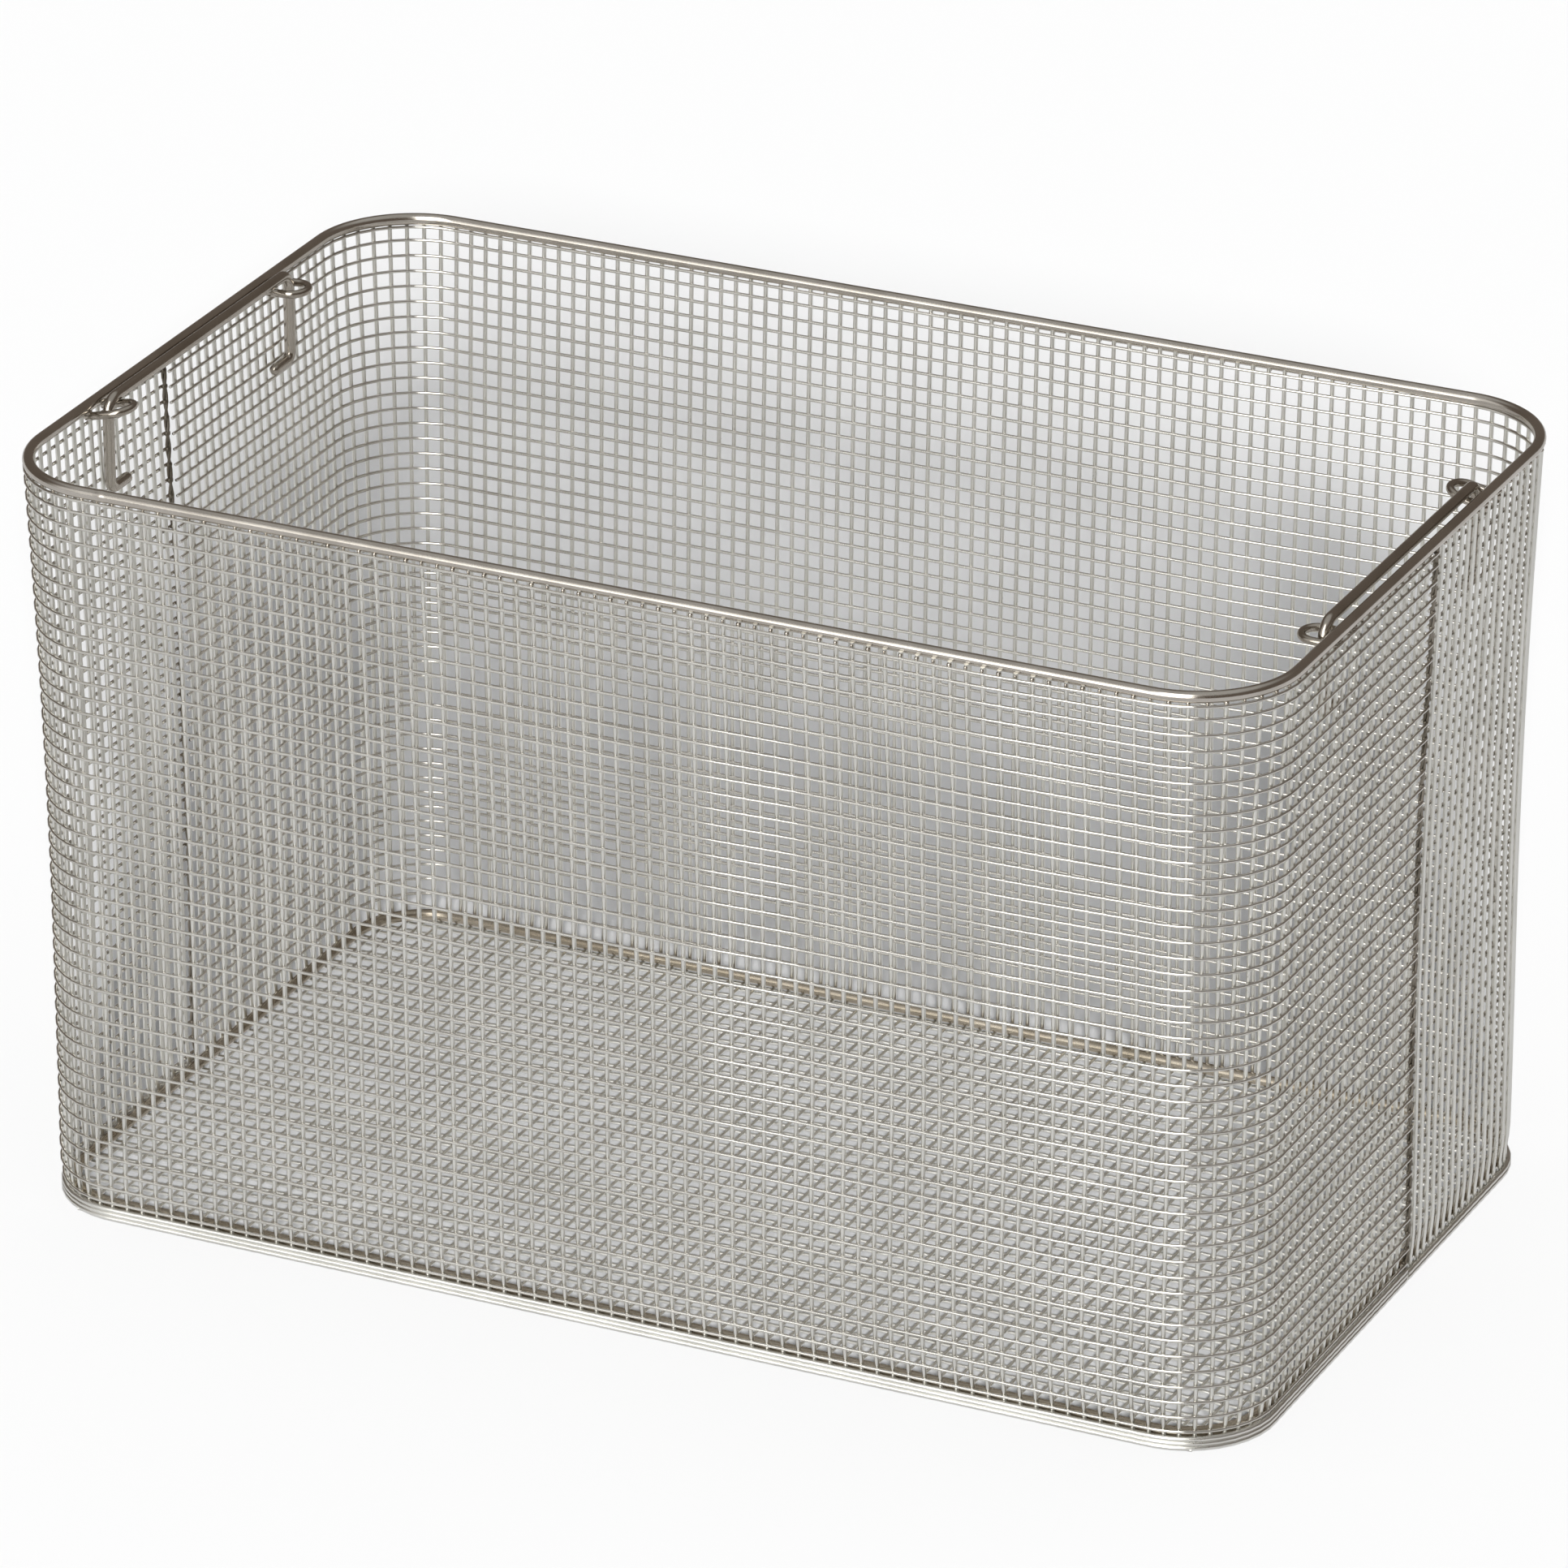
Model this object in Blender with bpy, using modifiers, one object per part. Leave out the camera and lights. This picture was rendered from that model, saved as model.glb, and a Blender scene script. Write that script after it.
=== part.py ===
"""Deep wire mesh sterilization basket with two drop handles.

The basket stands on the XY plane with its long side along X and its origin in the middle of its underside.
A thick rim wire and a thick bottom wire carry screens of thin crossed wire. The screens are modelled with the
real bar thickness at a wider pitch, with tall gaps in the walls. Each handle is one bent wire that slides up
through two eyes under the rim until its feet catch. Units are metres and +Z is up.
"""

import math

import bmesh
import bpy
from mathutils import Vector

# Rim and bottom wires
RIM_LENGTH = 0.485
RIM_WIDTH = 0.290
RIM_TOP = 0.288
RIM_WIRE = 0.0044
RIM_BEND = 0.037
BOTTOM_WIRE = 0.0044

# Wire screens: two crossed wires thick, leaning out towards the rim
MESH_WIRE = 0.0012
WALL_COLUMN_PITCH = 0.0225
WALL_ROW_PITCH = 0.057
FLOOR_PITCH = 0.040
FLARE = 0.005
FLARE_START = 0.106

# The two halves of the wall meet off the middle of each short wall, at a doubled wire
SEAM_OFFSET = 0.015

# Handles and the eyes that they run in
HANDLE_WIRE = 0.0042
HANDLE_WIDTH = 0.137
HANDLE_DROP = 0.034
HANDLE_RIM_GAP = 0.0019
GRIP_BEND = 0.006
FOOT_BEND = 0.0035
FOOT_LENGTH = 0.014
EYE_WIRE = 0.003
EYE_OUTER_PLAY = 0.0004
EYE_INNER_PLAY = 0.005
EYE_REST = 0.00215

# On each handle one eye is bent upwards and the other is nearly level
RAISED_EYE_TILT = math.radians(15)
LEVEL_EYE_TILT = math.radians(2)

# Gap between touching pieces
CLEARANCE = 0.0003

# Smoothness of the bends, and the shape of the wall's lean
CORNER_STEPS = 8
BEND_STEPS = 5
EYE_STEPS = 10
CORNER_COLUMNS = 4
FLARE_POWER = 1.7
MIDDLE_SHARE = 0.5

# Sizes that follow from the ones above
NET_BAR = 2 * MESH_WIRE
RIM_X = (RIM_LENGTH - RIM_WIRE) / 2
RIM_Y = (RIM_WIDTH - RIM_WIRE) / 2
RIM_Z = RIM_TOP - RIM_WIRE / 2
CORE_X = RIM_X - RIM_BEND
CORE_Y = RIM_Y - RIM_BEND
WALL_TOP_RADIUS = RIM_BEND + RIM_WIRE / 2 - NET_BAR / 2
WALL_FOOT_RADIUS = WALL_TOP_RADIUS - FLARE
WALL_FOOT_Z = CLEARANCE + NET_BAR / 2
WALL_TOP_Z = RIM_Z - RIM_WIRE / 2 - CLEARANCE - NET_BAR / 2
FLOOR_RADIUS = WALL_FOOT_RADIUS - NET_BAR / 2 - CLEARANCE
CORNER_SAG = WALL_FOOT_RADIUS * (1 - math.cos(math.pi / 4 / CORNER_COLUMNS))
BOTTOM_RADIUS = FLOOR_RADIUS - CORNER_SAG - BOTTOM_WIRE / 2
BOTTOM_Z = NET_BAR + CLEARANCE + BOTTOM_WIRE / 2
PANEL_INSET = (NET_BAR + CLEARANCE) / 2
SEAM_WIRE = NET_BAR
SEAM_INSET = SEAM_WIRE / 2 + CLEARANCE + NET_BAR / 2

LEG_INBOARD = RIM_WIRE / 2 + HANDLE_RIM_GAP + HANDLE_WIRE / 2
LEG_Y = HANDLE_WIDTH / 2
EYE_INNER_Y = LEG_Y - GRIP_BEND - EYE_REST
EYE_OUTER_Y = LEG_Y + HANDLE_WIRE / 2 + EYE_OUTER_PLAY + EYE_WIRE / 2
EYE_MIDDLE_Y = (EYE_INNER_Y + EYE_OUTER_Y) / 2
EYE_BEND = (EYE_OUTER_Y - EYE_INNER_Y) / 2
EYE_APEX_INBOARD = LEG_INBOARD + HANDLE_WIRE / 2 + EYE_INNER_PLAY + EYE_WIRE / 2
EYE_END_INBOARD = RIM_BEND - (WALL_TOP_RADIUS - NET_BAR / 2 - CLEARANCE)


def eye_height(inboard, tilt):
    """Height of an eye's wire, at a distance inwards from the middle of the rim wire."""
    depth = (RIM_WIRE / 2 + CLEARANCE + EYE_WIRE / 2) / math.cos(tilt)
    return RIM_Z - depth + inboard * math.tan(tilt)


def contact_height(tilt):
    """How far a handle's wire lies above or below an eye's wire where they touch."""
    return (EYE_WIRE / 2 + CLEARANCE + HANDLE_WIRE / 2) / math.cos(tilt)


GRIP_Z = eye_height(LEG_INBOARD, RAISED_EYE_TILT) + contact_height(RAISED_EYE_TILT)
FOOT_Z = GRIP_Z - HANDLE_DROP
LIFT = eye_height(LEG_INBOARD, LEVEL_EYE_TILT) - contact_height(LEVEL_EYE_TILT) - FOOT_Z


def wall_radius(height):
    """Corner radius of the wall's middle surface, which grows as the wall leans out below the rim."""
    share = max(0.0, (height - FLARE_START) / (WALL_TOP_Z - FLARE_START))
    return WALL_FOOT_RADIUS + FLARE * share ** FLARE_POWER


def gaps_along(length, pitch):
    """Number of net gaps that fit a length at about a pitch."""
    return max(1, round(length / pitch))


def even_gaps_along(length, pitch):
    """An even number of net gaps, so that two bars cross in the middle."""
    return 2 * gaps_along(length / 2, pitch)


def clear_scene():
    """Remove every object that the new file holds."""
    for item in list(bpy.data.objects):
        bpy.data.objects.remove(item, do_unlink=True)


def new_collection(name):
    """Make a collection in the scene."""
    collection = bpy.data.collections.new(name)
    bpy.context.scene.collection.children.link(collection)
    return collection


def steel(name, colour, roughness):
    """Make a bare stainless steel material."""
    material = bpy.data.materials.new(name)
    material.use_nodes = True
    shader = material.node_tree.nodes["Principled BSDF"]
    shader.inputs["Base Color"].default_value = (*colour, 1)
    shader.inputs["Roughness"].default_value = roughness
    shader.inputs["Metallic"].default_value = 1
    return material


def arc(centre, start, turn, steps):
    """Points (x, y) on an arc about a centre, from a start arm, turned by an angle."""
    points = []
    for step in range(steps + 1):
        angle = turn * step / steps
        cosine, sine = math.cos(angle), math.sin(angle)
        points.append((centre[0] + start[0] * cosine - start[1] * sine,
                       centre[1] + start[0] * sine + start[1] * cosine))
    return points


def rounded_rectangle(radius, height):
    """Points of a level rounded rectangle about the basket's four corner centres."""
    quarter = math.pi / 2
    starts = ((1, 1, (radius, 0)), (-1, 1, (0, radius)), (-1, -1, (-radius, 0)), (1, -1, (0, -radius)))
    loop = []
    for x, y, start in starts:
        loop += arc((x * CORE_X, y * CORE_Y), start, quarter, CORNER_STEPS)
    return [Vector((x, y, height)) for x, y in loop]


def wire_curve(name, points, diameter, closed=False):
    """Make a round wire along points, with capped ends unless it is closed."""
    curve = bpy.data.curves.new(name, "CURVE")
    curve.dimensions = "3D"
    curve.bevel_depth = diameter / 2
    curve.bevel_resolution = 2
    curve.use_fill_caps = True
    spline = curve.splines.new("POLY")
    spline.points.add(len(points) - 1)
    for target, point in zip(spline.points, points):
        target.co = (*point, 1)
    spline.use_cyclic_u = closed
    return curve


def net_mesh(name, columns, rows, place):
    """Make a flat or bent grid, whose vertices lie where place puts each share across and up."""
    grid = bmesh.new()
    bmesh.ops.create_grid(grid, x_segments=columns, y_segments=rows, size=MIDDLE_SHARE)
    for vertex in grid.verts:
        vertex.co = place(vertex.co.x + MIDDLE_SHARE, vertex.co.y + MIDDLE_SHARE)
    mesh = bpy.data.meshes.new(name)
    grid.to_mesh(mesh)
    grid.free()
    return mesh


def add_object(collection, name, data, material, location=(0, 0, 0), turn=0):
    """Add an object with its material, placed and turned about Z."""
    item = bpy.data.objects.new(name, data)
    item.location = location
    item.rotation_euler = (0, 0, turn)
    collection.objects.link(item)
    if not data.materials:
        data.materials.append(material)
    return item


def add_net(collection, name, data, material, turn):
    """Add a screen: bars of crossed wire along every edge of its grid."""
    item = add_object(collection, name, data, material, turn=turn)
    bars = item.modifiers.new("bars", "WIREFRAME")
    bars.thickness = NET_BAR
    bars.use_boundary = True
    bars.use_even_offset = True
    bars.use_replace = True
    return item


def add_pair(add, collection, names, data, material, **place):
    """Add a piece and its copy turned half round the basket's middle."""
    first, second = names
    add(collection, first, data, material, turn=0, **place)
    if "location" in place:
        x, y, z = place["location"]
        place["location"] = (-x, -y, z)
    add(collection, second, data, material, turn=math.pi, **place)


def wall_height(share):
    """Height at a share of the wall between its lowest and highest bar."""
    return WALL_FOOT_Z + share * (WALL_TOP_Z - WALL_FOOT_Z)


WALL_ROWS = gaps_along(WALL_TOP_Z - WALL_FOOT_Z, WALL_ROW_PITCH)


def long_wall_mesh():
    """The front wall between its corners."""
    half = CORE_X - PANEL_INSET

    def place(across, up):
        height = wall_height(up)
        return Vector((half * (2 * across - 1), -CORE_Y - wall_radius(height), height))

    return net_mesh("long_wall", gaps_along(2 * half, WALL_COLUMN_PITCH), WALL_ROWS, place)


def short_wall_mesh(name, low, high):
    """A stretch of the right wall between two places along Y."""
    def place(across, up):
        height = wall_height(up)
        return Vector((CORE_X + wall_radius(height), low + across * (high - low), height))

    return net_mesh(name, gaps_along(high - low, WALL_COLUMN_PITCH), WALL_ROWS, place)


def corner_mesh(name, side, first_angle):
    """A quarter round of wall at the right, on the side given as -1 for the front or 1 for the back."""
    def place(across, up):
        height = wall_height(up)
        radius = wall_radius(height)
        margin = PANEL_INSET / radius
        angle = first_angle + margin + across * (math.pi / 2 - 2 * margin)
        return Vector((CORE_X + radius * math.cos(angle), side * CORE_Y + radius * math.sin(angle), height))

    return net_mesh(name, CORNER_COLUMNS, WALL_ROWS, place)


def floor_line(index, gaps, core):
    """Place of one floor bar: the outer two on the rounded edge, the others between the corners."""
    if index == 0:
        return -core - FLOOR_RADIUS
    if index == gaps + 2:
        return core + FLOOR_RADIUS
    return core * (2 * (index - 1) / gaps - 1)


def floor_mesh():
    """The floor: a flat plate with square gaps, cut to the basket's rounded outline."""
    gaps_x = even_gaps_along(2 * CORE_X, FLOOR_PITCH)
    gaps_y = even_gaps_along(2 * CORE_Y, FLOOR_PITCH)
    diagonal = (FLOOR_RADIUS - CORNER_SAG) * math.sqrt(MIDDLE_SHARE)

    def place(across, up):
        column = round(across * (gaps_x + 2))
        row = round(up * (gaps_y + 2))
        x = floor_line(column, gaps_x, CORE_X)
        y = floor_line(row, gaps_y, CORE_Y)
        if column in (0, gaps_x + 2) and row in (0, gaps_y + 2):
            x = math.copysign(CORE_X + diagonal, x)
            y = math.copysign(CORE_Y + diagonal, y)
        return Vector((x, y, NET_BAR))

    mesh = net_mesh("floor", gaps_x + 2, gaps_y + 2, place)
    plate = bmesh.new()
    plate.from_mesh(mesh)
    cells = list(plate.faces)
    bmesh.ops.inset_individual(plate, faces=cells, thickness=NET_BAR / 2, use_even_offset=True)
    bmesh.ops.delete(plate, geom=cells, context="FACES")
    plate.to_mesh(mesh)
    plate.free()
    return mesh


def add_floor(collection, material):
    """Add the floor, as thick as two crossed wires."""
    item = add_object(collection, "floor_mesh", floor_mesh(), material)
    thick = item.modifiers.new("thickness", "SOLIDIFY")
    thick.thickness = NET_BAR
    thick.offset = -1
    return item


def seam_points():
    """The doubled wire where the two halves of the wall meet, from the foot to the rim."""
    points = []
    for step in range(WALL_ROWS + 1):
        height = wall_height(step / WALL_ROWS)
        points.append(Vector((CORE_X + wall_radius(height), SEAM_OFFSET, height)))
    return points


def eye_points(tilt):
    """A hairpin eye at the right: two arms under the rim and a round end inside, bent up by a tilt."""
    centre_inboard = EYE_APEX_INBOARD - EYE_BEND
    level = [(-EYE_END_INBOARD, -EYE_BEND)]
    level += arc((-centre_inboard, 0), (0, -EYE_BEND), -math.pi, EYE_STEPS)
    level.append((-EYE_END_INBOARD, EYE_BEND))
    return [Vector((x, y, eye_height(-x, tilt) - RIM_Z)) for x, y in level]


def handle_points():
    """A handle about the middle of its grip: foot, leg, grip, leg and foot."""
    quarter = math.pi / 2
    toe = LEG_Y - FOOT_LENGTH
    half = [(toe, -HANDLE_DROP)]
    half += arc((LEG_Y - FOOT_BEND, -HANDLE_DROP + FOOT_BEND), (0, -FOOT_BEND), quarter, BEND_STEPS)
    half += arc((LEG_Y - GRIP_BEND, -GRIP_BEND), (GRIP_BEND, 0), quarter, BEND_STEPS)
    other_half = [(-y, z) for y, z in reversed(half)]
    return [Vector((0, y, z)) for y, z in half + other_half]


def build():
    """Make the whole basket."""
    clear_scene()
    basket = new_collection("sterilization_basket")
    thick_steel = steel("polished_thick_wire", (0.42, 0.39, 0.36), 0.25)
    thin_steel = steel("bright_mesh_wire", (0.58, 0.57, 0.54), 0.3)

    rim = wire_curve("rim", rounded_rectangle(RIM_BEND, RIM_Z), RIM_WIRE, closed=True)
    add_object(basket, "rim_wire", rim, thick_steel)
    bottom = wire_curve("bottom", rounded_rectangle(BOTTOM_RADIUS, BOTTOM_Z), BOTTOM_WIRE, closed=True)
    add_object(basket, "bottom_frame_wire", bottom, thick_steel)

    add_floor(basket, thin_steel)
    add_pair(add_net, basket, ("front_wall_mesh", "back_wall_mesh"), long_wall_mesh(), thin_steel)
    wall_end = CORE_Y - PANEL_INSET
    long_half = short_wall_mesh("short_wall_long_half", -wall_end, SEAM_OFFSET - SEAM_INSET)
    short_half = short_wall_mesh("short_wall_short_half", SEAM_OFFSET + SEAM_INSET, wall_end)
    add_pair(add_net, basket, ("right_wall_mesh_front", "left_wall_mesh_back"), long_half, thin_steel)
    add_pair(add_net, basket, ("right_wall_mesh_back", "left_wall_mesh_front"), short_half, thin_steel)
    front_corner = corner_mesh("front_corner", -1, -math.pi / 2)
    back_corner = corner_mesh("back_corner", 1, 0)
    add_pair(add_net, basket, ("front_right_corner_mesh", "back_left_corner_mesh"), front_corner, thin_steel)
    add_pair(add_net, basket, ("back_right_corner_mesh", "front_left_corner_mesh"), back_corner, thin_steel)

    seam = wire_curve("seam", seam_points(), SEAM_WIRE)
    add_pair(add_object, basket, ("right_seam_wire", "left_seam_wire"), seam, thin_steel)

    level_eye = wire_curve("level_eye", eye_points(LEVEL_EYE_TILT), EYE_WIRE)
    raised_eye = wire_curve("raised_eye", eye_points(RAISED_EYE_TILT), EYE_WIRE)
    for end, eye, names in ((-1, level_eye, ("right_front_handle_eye", "left_back_handle_eye")),
                            (1, raised_eye, ("right_back_handle_eye", "left_front_handle_eye"))):
        add_pair(add_object, basket, names, eye, thick_steel, location=(RIM_X, end * EYE_MIDDLE_Y, RIM_Z))

    handle = wire_curve("handle", handle_points(), HANDLE_WIRE)
    grip_place = (RIM_X - LEG_INBOARD, 0, GRIP_Z)
    add_pair(add_object, basket, ("right_handle", "left_handle"), handle, thick_steel, location=grip_place)
    print(f"The handles rest at {GRIP_Z:.5f} m and lift by {LIFT:.5f} m")


build()
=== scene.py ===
# %% [markdown]
# # A wire mesh sterilization basket
#
# The basket is a deep box of welded stainless mesh. A thick rim wire holds its top, a second thick
# wire frames its foot, and a drop handle hangs inside each short end. The construction comes from
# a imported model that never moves. This lesson puts the real surface on it: over four hundred thin
# wires, the welds, the seams and the steel.

# %% Load the fixed frame
import math

import bpy
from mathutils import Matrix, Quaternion, Vector


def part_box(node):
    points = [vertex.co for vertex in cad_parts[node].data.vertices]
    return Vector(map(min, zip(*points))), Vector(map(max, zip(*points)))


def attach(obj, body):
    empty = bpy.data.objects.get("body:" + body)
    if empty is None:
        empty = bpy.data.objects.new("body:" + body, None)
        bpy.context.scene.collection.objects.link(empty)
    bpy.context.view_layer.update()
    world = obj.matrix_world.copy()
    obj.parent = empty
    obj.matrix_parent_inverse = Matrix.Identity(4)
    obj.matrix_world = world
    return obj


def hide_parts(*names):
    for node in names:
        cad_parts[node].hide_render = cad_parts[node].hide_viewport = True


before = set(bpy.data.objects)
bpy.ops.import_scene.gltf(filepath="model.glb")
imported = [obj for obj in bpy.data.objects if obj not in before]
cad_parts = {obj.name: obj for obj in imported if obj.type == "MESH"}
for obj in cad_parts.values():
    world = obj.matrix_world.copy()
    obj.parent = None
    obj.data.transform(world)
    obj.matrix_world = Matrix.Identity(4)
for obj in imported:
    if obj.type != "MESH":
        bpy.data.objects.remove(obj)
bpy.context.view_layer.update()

print("the frame holds", sorted(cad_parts))

# %% [markdown]
# ## The camera
#
# The photograph was taken from the front, a little to the right and from above, through a long
# lens. A long lens keeps parallel edges nearly parallel. The camera is placed on a line through
# the middle of the basket: two angles say where the line goes, and a distance says how far out the
# camera sits. The lens follows from the field of view.

# %% Camera
PICTURE_SIDE = 1932
FOCAL_PIXELS = 13121
SENSOR = 36.0
VIEW_AZIMUTH = math.radians(25.53)
VIEW_ELEVATION = math.radians(24.35)
VIEW_ROLL = math.radians(-0.17)
VIEW_TARGET = Vector((0, -0.0022, 0.1558))
VIEW_DISTANCE = 3.800
CLIP_END = 100


def outward(azimuth, elevation):
    """Direction away from the basket: azimuth from the front to the right end, elevation up."""
    level = math.cos(elevation)
    return Vector((math.sin(azimuth) * level, -math.cos(azimuth) * level, math.sin(elevation)))


def aimed(direction):
    """Rotation that makes a camera or lamp look along a direction."""
    return direction.to_track_quat("-Z", "Y")


view = outward(VIEW_AZIMUTH, VIEW_ELEVATION)
lens = bpy.data.cameras.new("camera")
lens.sensor_width = SENSOR
lens.lens = FOCAL_PIXELS / PICTURE_SIDE * SENSOR
lens.clip_end = CLIP_END
camera = bpy.data.objects.new("camera", lens)
camera.location = VIEW_TARGET + view * VIEW_DISTANCE
camera.rotation_mode = "QUATERNION"
camera.rotation_quaternion = aimed(-view) @ Quaternion((0, 0, 1), VIEW_ROLL)
bpy.context.scene.collection.objects.link(camera)
bpy.context.scene.camera = camera
print(f"camera at {tuple(round(v, 3) for v in camera.location)}, lens {lens.lens:.1f} mm")

# %% [markdown]
# ## Sizes
#
# The thick wires are where the frame has them, so their sizes are read from its boxes. What a box
# can't say, such as the bend of a corner, is a named value here.

# %% Sizes taken from the frame
RIM_BEND = 0.037
FLARE = 0.005
FLARE_START = 0.106
FLARE_POWER = 1.7
NET_BAR = 0.0024

rim_low, rim_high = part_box("rim_wire")
rod_low, rod_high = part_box("bottom_frame_wire")
RIM_WIRE = rim_high.z - rim_low.z
RIM_Z = (rim_high.z + rim_low.z) / 2
RIM_UNDERSIDE = RIM_Z - RIM_WIRE / 2
CORE_X = rim_high.x - RIM_WIRE / 2 - RIM_BEND
CORE_Y = rim_high.y - RIM_WIRE / 2 - RIM_BEND
ROD_WIRE = rod_high.z - rod_low.z
ROD_Z = (rod_high.z + rod_low.z) / 2
ROD_BEND = rod_high.x - ROD_WIRE / 2 - CORE_X
WALL_TOP_RADIUS = RIM_BEND + RIM_WIRE / 2 - NET_BAR / 2
WALL_FOOT_RADIUS = WALL_TOP_RADIUS - FLARE
print(f"rim wire {RIM_WIRE * 1000:.1f} mm")
print(f"straight runs {2 * CORE_X * 1000:.0f} by {2 * CORE_Y * 1000:.0f} mm")

# %% [markdown]
# ## Wires as curves
#
# A real mesh is drawn wire, so each wire here is a line of points that Blender thickens into a
# tube. One curve object can hold many lines, which keeps a whole layer of the mesh in one piece.
# The lines are straight between their points: a bend gets many points, and a straight run needs
# two. A thin tube gets few sides and a thick one more. A tube's ends are cut square, as a wire
# cutter leaves them, and where an end shows it is rounded off by a few rings that shrink.

# %% A tube along each line
FLOOR_ROUND = 1
MESH_ROUND = 2
HANDLE_ROUND = 5
RING_ROUND = 6
END_RINGS = 4


def tubes(name, lines, diameter, resolution, closed=False):
    """One curve object with a tube along every line. A fourth value of a point scales its radius."""
    curve = bpy.data.curves.new(name, "CURVE")
    curve.dimensions = "3D"
    curve.bevel_depth = diameter / 2
    curve.bevel_resolution = resolution
    curve.use_fill_caps = True
    for line in lines:
        spline = curve.splines.new("POLY")
        spline.points.add(len(line) - 1)
        for target, point in zip(spline.points, line):
            target.co = (point[0], point[1], point[2], 1)
            target.radius = point[3] if len(point) > 3 else 1
        spline.use_cyclic_u = closed
        spline.use_smooth = True
    piece = bpy.data.objects.new(name, curve)
    bpy.context.scene.collection.objects.link(piece)
    return piece


def arc(centre, arm, turn, steps):
    """Points (a, b) on an arc about a centre, starting at an arm and turning by an angle."""
    points = []
    for step in range(steps + 1):
        angle = turn * step / steps
        cosine = math.cos(angle)
        sine = math.sin(angle)
        points.append((centre[0] + arm[0] * cosine - arm[1] * sine,
                       centre[1] + arm[0] * sine + arm[1] * cosine))
    return points


def dome(end, inner, radius):
    """Rings that shrink towards the end of a line, which comes from an inner point."""
    outward_step = (end - inner).normalized()
    rings = []
    for ring in range(END_RINGS):
        angle = math.pi / 2 * ring / END_RINGS
        place = end - outward_step * radius * (1 - math.sin(angle))
        rings.append((*place, math.cos(angle)))
    return rings


def rounded_ends(line, diameter):
    """Close both ends of a line with rings that shrink to a dome."""
    first = dome(line[0], line[1], diameter / 2)
    last = dome(line[-1], line[-2], diameter / 2)
    return first[::-1] + [tuple(point) for point in line[1:-1]] + last


# %% [markdown]
# ## The plan of the wall
#
# The wall's outline is a rounded rectangle that grows a little towards the rim, where the mesh
# leans out to meet it, and draws in at the foot, where it meets the bottom wire. The real mesh
# comes as two sheets: each covers one long wall, its two corners and a part of both short walls.
# A place on a sheet is told by how far along it lies from its first edge, how high it is and how
# far out from the sheet's middle. One function turns these three numbers into a point, and every
# mesh wire uses it. The back sheet is the front sheet turned half round.

# %% Lengths along a sheet
SEAM_OFFSET = 0.015
SEAM_HALF_GAP = 0.0007
FOOT_LEAN = 0.0009
FOOT_LEAN_TOP = 0.017
FOOT_LEAN_POWER = 1.5

RUN_CORNER = math.pi / 2 * (WALL_FOOT_RADIUS + WALL_TOP_RADIUS) / 2
CORNER_START = CORE_Y - SEAM_OFFSET - SEAM_HALF_GAP
FRONT_START = CORNER_START + RUN_CORNER
SECOND_CORNER_START = FRONT_START + 2 * CORE_X
RIGHT_START = SECOND_CORNER_START + RUN_CORNER
SHEET_LENGTH = RIGHT_START + CORE_Y + SEAM_OFFSET - SEAM_HALF_GAP


def share_of(value, low, high):
    """How far a value is from low to high, held between 0 and 1."""
    return min(1.0, max(0.0, (value - low) / (high - low)))


def wall_radius(height):
    """Corner radius of the wall's middle at a height."""
    flare = FLARE * share_of(height, FLARE_START, RIM_UNDERSIDE) ** FLARE_POWER
    lean = FOOT_LEAN * (1 - share_of(height, rod_high.z, FOOT_LEAN_TOP)) ** FOOT_LEAN_POWER
    return WALL_FOOT_RADIUS + flare - lean


print(f"each sheet is {SHEET_LENGTH * 1000:.0f} mm long")

# %% [markdown]
# ## A sheet is never quite flat
#
# Rolling, bending and welding leave the mesh slightly wavy, by a millimetre or so. That is enough
# to decide where its polished level wires flash: a wire that turns by two degrees reflects another
# part of the room. So the waves are laid out, not random. Each sheet rises gently along its long
# wall and falls back in a few steeper stretches, and those stretches are where the wires show
# bright in the photograph. The stretch in the middle fades out above and below, and the one at the
# right gets narrower towards the foot. Small waves go on top.

# %% Waves of the sheets
GENTLE_SLOPE = 0.0080
STEEP_SLOPE = 0.0420
SLOPE_SOFTNESS = 0.15
RIGHT_FALL_START = 0.144
RIGHT_FALL_END = 0.203
RIGHT_FALL_LEAN = 0.30
RIGHT_FALL_BEND = 0.150
MIDDLE_FALL = (0.038, 0.070)
MIDDLE_FALL_LOW = (0.065, 0.105)
MIDDLE_FALL_HIGH = (0.225, 0.262)
BACK_FALL = (-0.188, -0.112)
FRONT_LEVEL = 0.0006
BACK_LEVEL = -0.0008
WAVE_FOOT = 0.035
WAVE_SIZE = 0.00012
FINE_WAVE_SIZE = 0.00003
BACK_SHIFT = 1.7


def ramp(place, low, high):
    """How far a slope from low to high has risen at a place, with slightly soft ends."""
    share = share_of(place, low, high)
    soft = share * share * (3 - 2 * share)
    return (high - low) * ((1 - SLOPE_SOFTNESS) * share + SLOPE_SOFTNESS * soft)


def front_waves(place, height):
    """Waves of the front sheet at a place along its long wall, counted from the wall's middle."""
    right_start = RIGHT_FALL_START + RIGHT_FALL_LEAN * max(0.0, RIGHT_FALL_BEND - height)
    strength = share_of(height, *MIDDLE_FALL_LOW) * (1 - share_of(height, *MIDDLE_FALL_HIGH))
    out = GENTLE_SLOPE * ramp(place, -CORE_X, CORE_X)
    out -= STEEP_SLOPE * ramp(place, right_start, RIGHT_FALL_END)
    return out - STEEP_SLOPE * strength * ramp(place, *MIDDLE_FALL) - FRONT_LEVEL


def back_waves(place):
    """Waves of the back sheet, which is turned half round: its right end has negative places."""
    out = GENTLE_SLOPE * ramp(place, BACK_FALL[1], CORE_X)
    return out - STEEP_SLOPE * ramp(place, *BACK_FALL) - BACK_LEVEL


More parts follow.
